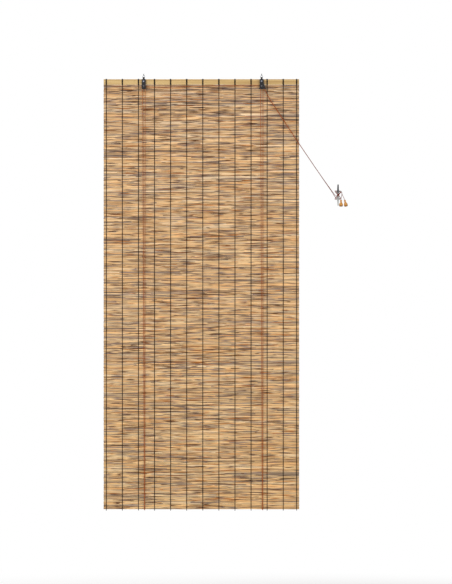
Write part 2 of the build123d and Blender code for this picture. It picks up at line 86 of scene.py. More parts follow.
class Shader:
    """Builds one node material around its Principled shader."""

    def __init__(self, name, colour, roughness, metallic=0.0):
        self.material = bpy.data.materials.new(name)
        self.material.use_nodes = True
        self.tree = self.material.node_tree
        self.bsdf = self.tree.nodes["Principled BSDF"]
        self.fixed({"Base Color": colour, "Roughness": roughness, "Metallic": metallic})
        self.place = self.tree.nodes.new("ShaderNodeTexCoord").outputs["Object"]

    def fixed(self, values):
        """Uniform values, set straight on the shader's sockets."""
        for key, value in values.items():
            self.bsdf.inputs[key].default_value = value

    def node(self, kind, **values):
        """A new node, with values for its sockets or for its own settings."""
        made = self.tree.nodes.new(kind)
        for key, value in values.items():
            if key in made.inputs:
                made.inputs[key].default_value = value
            else:
                setattr(made, key, value)
        return made

    def link(self, output, target):
        self.tree.links.new(output, target)

    def stretched(self, scale, turn=(0, 0, 0)):
        """The object's place in metres, scaled along each axis."""
        mapping = self.node("ShaderNodeMapping", Scale=scale, Rotation=turn)
        self.link(self.place, mapping.inputs["Vector"])
        return mapping.outputs["Vector"]

    def noise(self, scale, detail=4.0, twist=0.0, turn=(0, 0, 0)):
        made = self.node(
            "ShaderNodeTexNoise", Scale=1.0, Detail=detail, Roughness=0.6, Distortion=twist
        )
        self.link(self.stretched(scale, turn), made.inputs["Vector"])
        return made.outputs["Fac"]

    def bands(self, scale, turn):
        made = self.node("ShaderNodeTexWave", Scale=1.0, Distortion=0.0, Detail=1.0)
        made.wave_profile = "SIN"
        self.link(self.stretched(scale, turn), made.inputs["Vector"])
        return made.outputs["Fac"]

    def along(self, axis, start, end):
        """How far the place is along an axis, as 0 at start to 1 at end."""
        parts = self.node("ShaderNodeSeparateXYZ")
        self.link(self.place, parts.inputs[0])
        share = self.node("ShaderNodeMapRange", **{"From Min": start, "From Max": end})
        self.link(parts.outputs[axis], share.inputs["Value"])
        return share.outputs["Result"]

    def ramp(self, value, stops):
        made = self.node("ShaderNodeValToRGB")
        elements = made.color_ramp.elements
        while len(elements) < len(stops):
            elements.new(0.5)
        for element, (position, colour) in zip(elements, stops):
            element.position = position
            element.color = colour
        self.link(value, made.inputs["Fac"])
        return made.outputs["Color"]

    def grey_ramp(self, value, low, high, start=0.3, end=0.7):
        return self.ramp(value, [(start, (low, low, low, 1.0)), (end, (high, high, high, 1.0))])

    def mix(self, first, second, share, how="MIX"):
        made = self.node("ShaderNodeMix", data_type="RGBA", blend_type=how)
        for value, socket in ((share, MIX_SHARE), (first, MIX_FIRST), (second, MIX_SECOND)):
            if isinstance(value, bpy.types.NodeSocket):
                self.link(value, made.inputs[socket])
            else:
                made.inputs[socket].default_value = value
        return made.outputs[MIX_RESULT]

    def times(self, first, second):
        return self.mix(first, second, 1.0, "MULTIPLY")

    def colour(self, output):
        self.link(output, self.bsdf.inputs["Base Color"])

    def rough(self, output):
        self.link(output, self.bsdf.inputs["Roughness"])

    def bump(self, output, strength, distance):
        """A bump on top of those that the shader has already."""
        made = self.node("ShaderNodeBump", Strength=strength, Distance=distance)
        self.link(output, made.inputs["Height"])
        normal = self.bsdf.inputs["Normal"]
        if normal.is_linked:
            self.link(normal.links[0].from_socket, made.inputs["Normal"])
        self.link(made.outputs["Normal"], normal)


def reed_material():
    """Dry reed: each stalk has its own colour, with fibres and darker streaks along it."""
    s = Shader("reed_stalks", rgb(205, 165, 120), 0.62)
    tint = s.node("ShaderNodeAttribute", attribute_name="tint").outputs["Color"]
    fibres = s.noise((16, 160, 1500))
    streaks = s.noise((5, 60, 210), detail=2.0, twist=0.3)
    worn = s.noise((38, 120, 260), detail=2.0)
    base = s.times(tint, s.grey_ramp(fibres, 0.74, 1.12, 0.32, 0.68))
    shade = s.ramp(streaks, [(0.30, rgb(214, 205, 200)), (0.62, (1.04, 1.02, 1.0, 1.0))])
    base = s.times(base, shade)
    base = s.mix(base, rgb(96, 68, 48), s.grey_ramp(worn, 0.0, 0.55, 0.66, 0.78))
    s.colour(base)
    s.rough(s.grey_ramp(streaks, 0.72, 0.5))
    s.bump(fibres, 0.55, 0.0004)
    s.fixed({"Specular IOR Level": 0.35})
    return s.material


def bamboo_material():
    """Split bamboo: long even grain with a few darker specks."""
    s = Shader("split_bamboo", rgb(206, 170, 116), 0.48)
    grain = s.noise((3, 60, 1400))
    bands = s.noise((1.6, 20, 260), detail=2.0, twist=0.2)
    stops = [(0.32, rgb(172, 136, 82)), (0.52, rgb(196, 163, 104)), (0.7, rgb(208, 179, 124))]
    base = s.ramp(bands, stops)
    base = s.times(base, s.grey_ramp(grain, 0.88, 1.06))
    specks = s.noise((60, 200, 700), detail=1.0)
    base = s.mix(base, rgb(140, 98, 56), s.grey_ramp(specks, 0.0, 0.5, 0.70, 0.80))
    s.colour(base)
    s.rough(s.grey_ramp(bands, 0.42, 0.56))
    s.bump(grain, 0.25, 0.0003)
    return s.material


def yarn_material():
    """Dark brown twisted yarn, dull and slightly hairy."""
    s = Shader("warp_yarn", rgb(40, 31, 27), 0.92)
    plies = s.bands((0, 160, 560), turn=(0, 0, 0.5))
    hair = s.noise((1500, 1500, 700), detail=2.0)
    base = s.mix(rgb(16, 11, 10), rgb(36, 27, 23), plies)
    base = s.times(base, s.grey_ramp(hair, 0.75, 1.2))
    s.colour(base)
    s.bump(plies, 0.8, 0.0005)
    s.bump(hair, 0.4, 0.0002)
    s.fixed({"Sheen Weight": 0.06, "Sheen Roughness": 0.5, "Specular IOR Level": 0.2})
    return s.material


def cord_material():
    """Reddish brown braided cord, darker beside the blind towards the cleat, as painted shade of
    its overlapping turns there.
    """
    s = Shader("braided_cord", rgb(146, 84, 50), 0.8)
    left = s.bands((420, 420, 420), turn=(0.0, 0.9, 0.4))
    right = s.bands((420, 420, 420), turn=(0.0, -0.9, 0.4))
    braid = s.times(left, right)
    fuzz = s.noise((1200, 1200, 1200), detail=2.0)
    base = s.mix(rgb(136, 60, 18), rgb(214, 114, 44), braid)
    base = s.times(base, s.grey_ramp(fuzz, 0.82, 1.12))
    # Painted shade: the cord darkens from X 0.46 m to 0.56 m and stays darker past the cleat, down
    # to the pull.
    cleat_painted_shade = s.along("X", 0.46, 0.56)
    s.colour(s.times(base, s.mix(WHITE, rgb(192, 152, 126), cleat_painted_shade)))
    s.bump(braid, 0.7, 0.0004)
    s.bump(fuzz, 0.3, 0.0002)
    s.fixed({"Sheen Weight": 0.05, "Specular IOR Level": 0.25})
    return s.material


def enamel_material():
    """Black enamelled steel sheet, slightly pebbled and dusty."""
    s = Shader("black_enamel", rgb(34, 33, 36), 0.42)
    pebbles = s.noise((900, 900, 900), detail=2.0)
    dust = s.noise((120, 120, 120), detail=3.0)
    s.colour(s.mix(rgb(14, 13, 15), rgb(36, 34, 36), s.grey_ramp(dust, 0.0, 1.0, 0.4, 0.75)))
    s.rough(s.grey_ramp(dust, 0.34, 0.55))
    s.bump(pebbles, 0.25, 0.0002)
    s.fixed({"Specular IOR Level": 0.3})
    return s.material


def bright_material():
    """Zinc plated steel, brushed round by its making."""
    s = Shader("bright_metal", rgb(196, 198, 202), 0.3, 1.0)
    marks = s.noise((400, 400, 2600), detail=3.0)
    s.colour(s.mix(rgb(100, 102, 110), rgb(142, 144, 152), marks))
    s.rough(s.grey_ramp(marks, 0.24, 0.42))
    s.bump(marks, 0.2, 0.0001)
    return s.material


def worn_material():
    """Bare steel that has dulled, of the axles and the lock roller."""
    s = Shader("worn_metal", rgb(80, 78, 80), 0.5, 0.55)
    stains = s.noise((700, 700, 1500))
    s.colour(s.mix(rgb(62, 60, 62), rgb(104, 102, 104), stains))
    s.rough(s.grey_ramp(stains, 0.38, 0.6))
    s.bump(stains, 0.3, 0.0001)
    return s.material


def wheel_material():
    """Cream nylon of the cord wheels, guides and spacers."""
    s = Shader("wheel_nylon", rgb(222, 216, 200), 0.45)
    clouds = s.noise((260, 260, 260), detail=3.0)
    s.colour(s.mix(rgb(206, 199, 182), rgb(230, 225, 212), clouds))
    s.rough(s.grey_ramp(clouds, 0.38, 0.52))
    s.bump(clouds, 0.15, 0.0002)
    s.fixed({"Subsurface Weight": 0.05})
    return s.material


def pull_material():
    """Varnished orange beech: grain along the pull, short flecks, and painted shade darkening its
    base.
    """
    s = Shader("pull_wood", rgb(205, 140, 70), 0.34)
    grain = s.noise((520, 520, 60), twist=0.5)
    flecks = s.noise((900, 900, 260), detail=1.0)
    stops = [(0.3, rgb(150, 92, 12)), (0.55, rgb(198, 134, 22)), (0.75, rgb(214, 152, 32))]
    base = s.ramp(grain, stops)
    base = s.mix(base, rgb(118, 64, 24), s.grey_ramp(flecks, 0.0, 0.4, 0.62, 0.74))
    # Painted shade: the bottom of the bell is darkened, as if lit only from above.
    above_painted_base_shade = s.along("Z", -0.6705, -0.6625)
    s.colour(s.times(base, s.mix(rgb(178, 168, 150), WHITE, above_painted_base_shade)))
    s.rough(s.grey_ramp(grain, 0.28, 0.42))
    s.bump(grain, 0.15, 0.0002)
    s.fixed({"Coat Weight": 0.35, "Coat Roughness": 0.12})
    return s.material


def cleat_material():
    """Dull zinc on pressed steel, cloudy and finely scratched, with painted shade that makes its
    top half black.
    """
    s = Shader("cleat_steel", rgb(188, 190, 188), 0.38, 0.85)
    clouds = s.noise((90, 90, 60))
    scratches = s.noise((2200, 2200, 160), detail=2.0, turn=(0.0, 0.15, 0.0))
    # Painted shade: the top horn is made nearly black, standing in for the shade on its
    # downward-facing front.
    top_painted_shade = s.along("Z", -0.634, -0.588)
    pale = s.mix(rgb(138, 141, 138), rgb(186, 189, 186), clouds)
    base = s.mix(pale, rgb(34, 34, 37), top_painted_shade)
    s.colour(s.times(base, s.grey_ramp(scratches, 0.88, 1.05)))
    s.rough(s.grey_ramp(clouds, 0.3, 0.5))
    s.bump(scratches, 0.2, 0.0001)
    return s.material


MATERIALS = {
    "reed": reed_material(),
    "bamboo": bamboo_material(),
    "yarn": yarn_material(),
    "cord": cord_material(),
    "black_metal": enamel_material(),
    "bright_metal": bright_material(),
    "worn_metal": worn_material(),
    "wheel_nylon": wheel_material(),
    "pull_wood": pull_material(),
    "cleat_steel": cleat_material(),
}


def finish(obj, material):
    obj.data.materials.clear()
    obj.data.materials.append(MATERIALS[material])


def add_piece(obj, slot, body, *replaced):
    """Gives a new piece its finish and its body, and hides the nodes that it stands for."""
    finish(obj, slot)
    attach(obj, body)
    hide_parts(*replaced)


# Stalks and yarns, gathered as rings of points joined into closed tubes
class Tubes:
    """Many closed tubes in one mesh, with a colour for each point."""

    def __init__(self, sides):
        self.sides = sides
        self.points, self.faces, self.tints = [], [], []
        self.count = 0
        turns = np.arange(sides) * 2 * math.pi / sides
        self.circle = np.stack([np.cos(turns), np.sin(turns)], axis=1)

    def add(self, path, half_across, half_deep, tints, across, deep):
        """One tube along a path, with its half sizes, colours and directions at each point.

        The unit directions across and deep span the section, half_across and half_deep wide.
        """
        n = len(path)
        wide = self.circle[None, :, 0, None] * half_across[:, None, None] * across[:, None, :]
        thick = self.circle[None, :, 1, None] * half_deep[:, None, None] * deep[:, None, :]
        self.points.append((path[:, None, :] + (wide + thick)).reshape(-1, 3))
        self.tints.append(np.repeat(tints, self.sides, axis=0))
        base, sides = self.count, self.sides
        ring = np.arange(sides)
        after = (ring + 1) % sides
        for k in range(n - 1):
            low, high = base + k * sides, base + (k + 1) * sides
            quads = np.stack([low + ring, low + after, high + after, high + ring], axis=1)
            self.faces += quads.tolist()
        self.faces.append((base + ring[::-1]).tolist())
        self.faces.append((base + (n - 1) * sides + ring).tolist())
        self.count += n * sides

    def make(self, name):
        mesh = bpy.data.meshes.new(name)
        mesh.from_pydata(np.concatenate(self.points).tolist(), [], self.faces)
        tint = mesh.color_attributes.new("tint", "FLOAT_COLOR", "POINT")
        colours = np.concatenate(self.tints)
        tint.data.foreach_set("color", np.hstack([colours, np.ones((len(colours), 1))]).ravel())
        mesh.polygons.foreach_set("use_smooth", [True] * len(mesh.polygons))
        mesh.update()
        return show(name, mesh)


# Reed mat: stalks laid side by side in courses, with thin split slivers over them; the darkest
# slivers are partly painted shadow of the gaps between the reeds.
# Colours go with their shares. Lengths and widths are the limits of a random choice, in metres.
REED_COLOURS = [
    (rgb(236, 198, 144), 0.32),
    (rgb(222, 178, 122), 0.26),
    (rgb(208, 162, 108), 0.12),
    (rgb(150, 127, 104), 0.19),
    (rgb(240, 210, 166), 0.11),
]
SLIVER_COLOURS = [
    # The first, darkest sliver colour is partly painted shadow of the shaded gaps between the
    # reeds, and partly the reeds' darker inside.
    (rgb(80, 45, 18), 0.36),
    (rgb(126, 108, 94), 0.20),
    (rgb(242, 212, 166), 0.26),
    (rgb(180, 112, 50), 0.18),
]
TOP_COURSE = np.array(rgb(188, 148, 104)[:3])
TOP_COURSE_HEIGHT = 0.005
DULL = np.array(rgb(150, 128, 118)[:3])
BROWN = np.array(rgb(112, 72, 42)[:3])
BRIGHTEST = 0.9
TONES = (0.66, 1.16)
TOP_TONES = (0.75, 1.0)
SLIVER_TONES = (0.75, 1.15)

PATCH_STEP = 0.026
SLOW_STEP = 0.11
SWAY_STEP = 0.07
RING_STEP = 0.036
FADE_LENGTHS = (0.014, 0.045)
TIP = 0.16
TIP_DEPTH = 0.35
SWAY_Z = 0.00022
SWAY_Y = 0.00012

STALK_LENGTHS = (0.09, 0.34)
SHORTEST_LAST = 0.06
OVERLAPS = (0.045, 0.08)
RAGGED = (-0.0007, 0.0007)
STALK_DEPTHS = (0.0031, 0.0041)
STALK_OUT = (-0.0003, 0.0003)
STALK_SLANTS = (-0.0006, 0.0006)
FILLS = (1.12, 1.30)
SINGLE_SHARE = 0.4
SPLITS = (0.36, 0.64)

STALK_PIECES = 4
STALK_SIDES = 6
SLIVER_SIDES = 4
SLIVERS = (("front", -1, 3600), ("back", 1, 1600))
RIDGE_SHARE = 0.4
RIDGE_OUT, GROOVE_OUT = 0.00190, 0.00155
SLIVER_LENGTHS = (0.022, 0.115)
SLIVER_DEPTHS = (0.0008, 0.0014)
SLIVER_HEIGHTS = (0.0018, 0.0042)
SLIVER_SLANTS = (-0.0009, 0.0009)
SLIVER_FLOOR = 0.0012


def pick(draw, choices):
    """One colour of a list of colours and shares."""
    return np.array(draw.choices([c for c, _ in choices], [w for _, w in choices])[0][:3])


def course_heights():
    """The grooves between the courses, from the top of the mat down, as the solids have them."""
    steps = [1 + 0.28 * math.sin(2.4 * k) * math.cos(0.37 * k) for k in range(COURSES)]
    steps = np.array(steps)
    steps = steps * mat_height / steps.sum()
    return mat_high.z - np.concatenate([[0], np.cumsum(steps)])


def drifting(draw, length, step):
    """A value that wanders from about -1 to 1, as a function of the distance along a stalk."""
    knots = [draw.gauss(0, 1) for _ in range(int(length / step) + 4)]

    def at(x):
        t = x / step
        k = int(t)
        f = t - k
        f = f * f * (3 - 2 * f)
        return knots[k] * (1 - f) + knots[k + 1] * f

    return at


def stalk_tints(draw, base, xs, z, strength):
    """The stalk's colour along its length, with dull and brown patches.

    The whole mat grows lighter and warmer down from its top, as in the photo.
    """
    length = xs[-1] - xs[0]
    patches = drifting(draw, length, PATCH_STEP)
    slow = drifting(draw, length, SLOW_STEP)
    lower = (mat_high.z - z) / mat_height
    warm = np.array([1.0 + 0.03 * lower, 1.03 + 0.03 * lower, 1.12 - 0.07 * lower])
    gain = 0.785 + 0.13 * min(lower * 30, 1) + 0.26 * min(lower, 0.55)
    rows = []
    for x in xs:
        value = patches(x - xs[0])
        light = 1.21 + strength * (0.19 * value + 0.10 * slow(x - xs[0]))
        dull = min(max(-value - 0.45, 0), 0.9) * strength
        shade = DULL if slow(x - xs[0]) > 0 else BROWN
        colour = base * light * (1 - dull) + shade * dull
        colour = colour * warm * gain
        rows.append(colour * min(1.0, BRIGHTEST / colour.max()))
    return np.array(rows)


def lay_stalk(tubes, draw, ends, z, y, size, base, strength, cut, slant):
    """One stalk along X between its ends.

    size is its height and depth. An end that isn't cut off at the mat's edge tapers.
    """
    start, end = ends
    height, depth = size
    length = end - start
    count = max(4, int(length / RING_STEP) + 2)
    t = np.linspace(0, 1, count)
    t = t + 0.16 / count * np.sin(t * math.pi) * draw.uniform(-1, 1)
    xs = start + length * t
    taper = np.ones(count)
    fade = min(0.4, draw.uniform(*FADE_LENGTHS) / length)
    for from_end, is_cut in zip((t, 1 - t), cut):
        if not is_cut:
            grown = np.clip(from_end / fade, 0, 1) ** 0.8
            taper = np.minimum(taper, TIP + (1 - TIP) * grown)
    wobble = drifting(draw, length, SWAY_STEP)
    sway = np.array([wobble(x - start) for x in xs])
    zs = z + slant * (t - 0.5) + SWAY_Z * sway
    path = np.stack([xs, np.full(count, y) + SWAY_Y * sway[::-1], zs], axis=1)
    swell = 1 + 0.07 * np.array([wobble(length - (x - start)) for x in xs])
    tints = stalk_tints(draw, base, xs, z, strength)
    half_height = height / 2 * taper * swell
    half_depth = depth / 2 * (TIP_DEPTH + (1 - TIP_DEPTH) * taper)
    across = np.tile(ALONG_Z, (count, 1))
    deep = np.tile(ALONG_Y, (count, 1))
    tubes.add(path, half_height, half_depth, tints, across, deep)


def lay_row(tubes, draw, top, bottom):
    """One row of stalks end to end across the mat, each overlapping the next where both taper."""
    z = (top + bottom) / 2
    x = mat_low.x
    first = True
    while x < mat_high.x - 0.002:
        end = x + draw.uniform(*STALK_LENGTHS)
        last = end > mat_high.x - SHORTEST_LAST
        if last:
            end = mat_high.x
        start = x + draw.uniform(*RAGGED) if first else x - draw.uniform(*OVERLAPS)
        stop = end + draw.uniform(*RAGGED) if last else end
        depth = draw.uniform(*STALK_DEPTHS)
        y = mat_middle + draw.uniform(*STALK_OUT)
        slant = draw.uniform(*STALK_SLANTS)
        base = pick(draw, REED_COLOURS) * draw.uniform(*TONES)
        if z > mat_high.z - TOP_COURSE_HEIGHT:
            base = TOP_COURSE * draw.uniform(*TOP_TONES)
        size = ((top - bottom) * draw.uniform(*FILLS), depth)
        lay_stalk(tubes, draw, (start, stop), z, y, size, base, 1.0, (first, last), slant)
        first = False
        x = end


def lay_course(tubes, draw, top, bottom):
    """One course: a single broad reed, or two split ones of unequal width."""
    if draw.random() < SINGLE_SHARE:
        lay_row(tubes, draw, top, bottom)
        return
    parting = top + (bottom - top) * draw.uniform(*SPLITS)
    lay_row(tubes, draw, top, parting)
    lay_row(tubes, draw, parting, bottom)


def lay_sliver(tubes, draw, heights, side):
    """A thin sliver on the mat's front or back, on a course or in the groove above it."""
    k = draw.randrange(1, COURSES)
    on_ridge = draw.random() < RIDGE_SHARE
    middle = (heights[k] + heights[k + 1]) / 2
    z = (middle if on_ridge else heights[k]) + draw.uniform(-0.0007, 0.0007)
    z = max(z, mat_low.z + SLIVER_FLOOR)
    length = draw.uniform(*SLIVER_LENGTHS)
    start = draw.uniform(mat_low.x, mat_high.x - length)
    depth = draw.uniform(*SLIVER_DEPTHS)
    out = RIDGE_OUT if on_ridge else GROOVE_OUT
    y = mat_middle + side * (out + draw.uniform(-0.0002, 0.00015))
    base = pick(draw, SLIVER_COLOURS) * draw.uniform(*SLIVER_TONES)
    size = (draw.uniform(*SLIVER_HEIGHTS), depth)
    slant = draw.uniform(*SLIVER_SLANTS)
    ends = (start, start + length)
    lay_stalk(tubes, draw, ends, z, y, size, base, 0.6, (False, False), slant)


def build_mat():
    draw = random.Random(41)
    heights = course_heights()
    pieces = []
    for g in range(STALK_PIECES):
        tubes = Tubes(STALK_SIDES)
        for k in range(g * COURSES // STALK_PIECES, (g + 1) * COURSES // STALK_PIECES):
            lay_course(tubes, draw, heights[k], heights[k + 1])
        pieces.append(tubes.make(f"reed_stalks_{g + 1}"))
    for name, side, count in SLIVERS:
        tubes = Tubes(SLIVER_SIDES)
        for _ in range(count):
            lay_sliver(tubes, draw, heights, side)
        pieces.append(tubes.make(f"reed_slivers_{name}"))
    for piece in pieces:
        add_piece(piece, "reed", "blind", "reed_mat")


build_mat()


# Warp yarns: a strand down the front and the back, wound round the batten and tied at the bottom.
# Places out from the mat's middle and half sizes of the sections, in metres.
YARN_COLOUR = np.array(rgb(44, 34, 29)[:3])
CREST, DIP = 0.0033, 0.0029
STITCH_WIDE, STITCH_NARROW, STITCH_END = 0.0019, 0.0015, 0.0010
STITCH_THICK = 0.00075
WRAPS = 4
WRAP_PITCH = 0.00165
WRAP_CORNER = 0.0016
WRAP_OUT = 0.0011
WRAP_SIZE = (0.00108, 0.0008)
KNOT_DROP = 0.0022
KNOT_STEPS = (-0.0016, -0.0006, 0.0006, 0.0016)
KNOT_SIZE = (0.0021, 0.0017)
TAILS = ((-0.0011, 0.0068), (0.0010, 0.0073))
TAIL_SIZE = (0.0012, 0.0009)


def strand(tubes, path, half_wide, half_thick, turn_step, tint):
    """A yarn along a path: a flat section that turns by a step from ring to ring."""
    path = np.array(path)
    along = np.gradient(path, axis=0)
    along = along / np.linalg.norm(along, axis=1)[:, None]
    side = np.tile(ALONG_X, (len(path), 1))
    side = side - along * (side * along).sum(axis=1)[:, None]
    short = np.linalg.norm(side, axis=1) < 0.2
    side[short] = np.cross(along[short], ALONG_Z)
    side = side / np.linalg.norm(side, axis=1)[:, None]
    out = np.cross(along, side)
    angle = np.arange(len(path)) * turn_step
    cos, sin = np.cos(angle)[:, None], np.sin(angle)[:, None]
    full = np.ones(len(path))
    tints = np.tile(tint, (len(path), 1))
    across = side * cos + out * sin
    deep = out * cos - side * sin
    tubes.add(path, full * half_wide, full * half_thick, tints, across, deep)


def wound_loop(x, next_x, half_deep, top, bottom):
    """One turn round the batten, from x at its back to next_x."""
    places = []
    middle = (top + bottom) / 2
    for quarter, (y_side, z_side) in enumerate(((1, 1), (-1, 1), (-1, -1), (1, -1))):
        centre_y = y_side * (half_deep - WRAP_CORNER)
        centre_z = (top - WRAP_CORNER) if z_side > 0 else (bottom + WRAP_CORNER)
        for step in range(4):
            angle = math.radians(90 * quarter + 30 * step)
            y = centre_y + WRAP_CORNER * math.cos(angle)
            places.append((y, centre_z + WRAP_CORNER * math.sin(angle)))
    path = [(x, mat_middle + half_deep, middle)]
    for k, (y, z) in enumerate(places):
        share = (k + 1) / (len(places) + 1)
        path.append((x + (next_x - x) * share, mat_middle + y, z))
    path.append((next_x, mat_middle + half_deep, middle))
    return path


def build_yarn(name, draw):
    low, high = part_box(name)
    x = (low.x + high.x) / 2
    tubes = Tubes(6)
    dark = YARN_COLOUR * draw.uniform(0.85, 1.15)

    # The strands on the front and the back, high on each course and low in each groove
    heights = course_heights()
    for side in (-1, 1):
        path = [(x, mat_middle + side * CREST, batten_low.z + 0.001)]
        for k in range(COURSES):
            sway = draw.uniform(-0.00018, 0.00018)
            middle = (heights[k] + heights[k + 1]) / 2
            path.append((x + sway, mat_middle + side * CREST, middle))
            path.append((x - sway, mat_middle + side * DIP, heights[k + 1]))
        path[-1] = (x, mat_middle + side * DIP, mat_low.z + 0.0002)
        path.append((x, mat_middle + side * 0.0012, mat_low.z - 0.0014))
        stitch = np.where(np.arange(len(path)) % 2 == 1, STITCH_WIDE, STITCH_NARROW)
        stitch[-1] = STITCH_END
        strand(tubes, path, stitch, STITCH_THICK, 0.0, dark)

    # The turns round the batten
    top = batten_high.z + WRAP_OUT
    bottom = batten_low.z - 0.0003
    half_deep = (batten_high.y - batten_low.y) / 2 + WRAP_OUT
    coil = []
    for k in range(WRAPS):
        start = x + (k - WRAPS / 2) * WRAP_PITCH + draw.uniform(-0.0001, 0.0001)
        turn = wound_loop(start, start + WRAP_PITCH, half_deep, top, bottom)
        coil += turn[1:] if k else turn
    strand(tubes, coil, *WRAP_SIZE, 0.7, dark * 0.8)

    # The knot below the last course and its two tails
    knot = mat_low.z - KNOT_DROP
    ball = [(x + step, mat_middle, knot) for step in KNOT_STEPS]
    strand(tubes, ball, *KNOT_SIZE, 0.3, dark)
    for lean, drop in TAILS:
        lean += draw.uniform(-0.0003, 0.0003)
        tail = [
            (x, mat_middle, knot),
            (x + lean, mat_middle - 0.0004, knot - 0.0025),
            (x + lean * 1.3, mat_middle, mat_low.z - drop),
        ]
        strand(tubes, tail, *TAIL_SIZE, 0.9, dark)
    piece = tubes.make(name.replace("warp_yarn", "yarn"))
    add_piece(piece, "yarn", "blind", name)


yarn_draw = random.Random(7)
for yarn_name in YARN_NAMES:
    build_yarn(yarn_name, yarn_draw)


def closed_mesh(name, points, faces, weld=False):
    """A mesh whose faces all look outwards, with points that meet made one where asked."""
    mesh = bpy.data.meshes.new(name)
    mesh.from_pydata(points, [], faces)
    editor = bmesh.new()
    editor.from_mesh(mesh)
    if weld:
        bmesh.ops.remove_doubles(editor, verts=editor.verts, dist=1e-7)
        bmesh.ops.dissolve_degenerate(editor, dist=1e-7, edges=editor.edges)
    bmesh.ops.recalc_face_normals(editor, faces=editor.faces)
    editor.to_mesh(mesh)
    editor.free()
    return mesh


# Head batten: a split bamboo slat with worn edges, two grooves and the low rings of its nodes
BATTEN_EDGE = 0.0013
GROOVE = ((-0.0012, 0), (-0.0005, 0.0004), (0, 0.0006), (0.0005, 0.0004), (0.0012, 0))
BAMBOO_NODES = (0.21, 0.52, 0.85)
NODE_STEPS = (-0.004, -0.002, 0.0, 0.002, 0.004)
NODE_WIDTH = 0.0022


def batten_section():
    """The slat's outline as points of Y and Z, with its two grooves on the front."""
    low_y, high_y, low_z, high_z = batten_low.y, batten_high.y, batten_low.z, batten_high.z

    def corner(y, z, y_way, z_way, start):
        found = []
        for step in (3, 2, 1, 0):
            angle = math.radians(start + 30 * step)
            across = y + y_way * BATTEN_EDGE + BATTEN_EDGE * math.cos(angle)
            found.append((across, z + z_way * BATTEN_EDGE + BATTEN_EDGE * math.sin(angle)))
        return found

    section = corner(low_y, low_z, 1, 1, 180)
    for share in (1 / 3, 2 / 3):
        middle = low_z + (high_z - low_z) * share
        section += [(low_y + depth, middle + offset) for offset, depth in GROOVE]
    section += corner(low_y, high_z, 1, -1, 90)
    section += corner(high_y, high_z, -1, -1, 0)
    section += corner(high_y, low_z, -1, 1, 270)
    return np.array(section)


def build_batten():
    section = batten_section()
    centre = section.mean(axis=0)
    rings = [mat_low.x + place for place in BAMBOO_NODES]
    xs = set(np.linspace(mat_low.x, mat_high.x, 90))
    xs |= {ring + step for ring in rings for step in NODE_STEPS}
    xs = sorted(xs)
    wave = drifting(random.Random(19), mat_width + 0.1, 0.08)
    points = []
    for x in xs:
        swell = sum(math.exp(-(((x - ring) / NODE_WIDTH) ** 2)) for ring in rings)
        outline = centre + (section - centre) * np.array([1 + 0.05 * swell, 1 + 0.006 * swell])
        outline[:, 1] += 0.00012 * wave(x - mat_low.x)
        points += [(x, y, z) for y, z in outline]
    n = len(section)
    faces = []
    for k in range(len(xs) - 1):
        for i in range(n):
            j = (i + 1) % n
            faces.append((k * n + i, k * n + j, (k + 1) * n + j, (k + 1) * n + i))
    faces.append(tuple(range(n))[::-1])
    faces.append(tuple((len(xs) - 1) * n + i for i in range(n)))
    mesh = closed_mesh("bamboo_batten", points, faces)
    mesh.polygons.foreach_set("use_smooth", [len(f.vertices) == 4 for f in mesh.polygons])
    add_piece(show("bamboo_batten", mesh), "bamboo", "blind", "head_batten")


build_batten()


# Turned pieces, as a profile swept round an axis
def lathe(name, profile, origin, axis, segments=40):
    """profile is (radius, distance along the axis) from end to end; it closes on itself."""
    axis = Vector(axis).normalized()
    side = axis.orthogonal().normalized()
    other = axis.cross(side)
    origin = Vector(origin)
    points, faces = [], []
    n = len(profile)
    for k in range(segments):
        turn = 2 * math.pi * k / segments
        out = side * math.cos(turn) + other * math.sin(turn)
        points += [origin + axis * along + out * radius for radius, along in profile]
    for k in range(segments):
        m = (k + 1) % segments
        for i in range(n):
            j = (i + 1) % n
            faces.append((k * n + i, k * n + j, m * n + j, m * n + i))
    mesh = closed_mesh(name, points, faces, weld=True)
    mesh.polygons.foreach_set("use_smooth", [True] * len(mesh.polygons))
    return show(name, mesh)


def rounded(points, steps=6):
    """A smooth line through a profile's points, in turn."""
    found = []
    for k in range(len(points) - 1):
        near = [points[min(max(k + d, 0), len(points) - 1)] for d in (-1, 0, 1, 2)]
        for step in range(steps):
            t = step / steps
            value = []
            for p0, p1, p2, p3 in zip(*near):
                curve = 2 * p1 + (p2 - p0) * t + (2 * p0 - 5 * p1 + 4 * p2 - p3) * t * t
                value.append((curve + (3 * p1 - p0 - 3 * p2 + p3) * t**3) / 2)
            found.append(tuple(value))
    found.append(points[-1])
    return found


# A pull's radius and distance from its neck in millimetres: outside, base and bore
PULL_OUTSIDE = [
    (4.1, 0.0), (5.1, 0.7), (5.35, 1.7), (4.9, 2.7), (5.15, 3.5), (4.7, 4.8), (4.5, 7.8),
    (4.75, 10.6), (5.6, 13.6), (7.2, 16.4), (9.0, 19.8), (9.9, 23.8), (10.0, 27.2), (9.4, 30.4),
    (8.3, 32.8), (7.0, 34.1),
]
PULL_BASE = [(6.6, 34.45), (5.0, 34.5), (4.05, 34.1)]
PULL_BORE = 1.7
KNOT_ROOM = 0.3


def build_pull(side, neck, seat):
    """A turned pull: a collar with two fine rings, a slim neck and a round bell, bored through."""
    line = Vector(seat) - Vector(neck)
    depth = line.length - KNOT_ROOM
    inside = [(4.0, depth + 0.2), (3.7, depth), (PULL_BORE, depth), (PULL_BORE, 0.3), (2.2, 0)]
    profile = [(r * MM, z * MM) for r, z in rounded(PULL_OUTSIDE) + PULL_BASE + inside]
    pull = lathe(f"turned_pull_{side}", profile, Vector(neck) * MM, line)
    add_piece(pull, "pull_wood", "blind", f"{side}_wooden_pull")
    return pull


# A screw eye's wire, and the radii of its thread at the bottom and the top of a ridge
EYE_WIRE = 0.001
EYE_RINGS = 44
EYE_START, EYE_TURN = 92, 352
THREAD_ROOT, THREAD_TOP = 0.0016, 0.0021
THREAD_PITCH = 0.0009


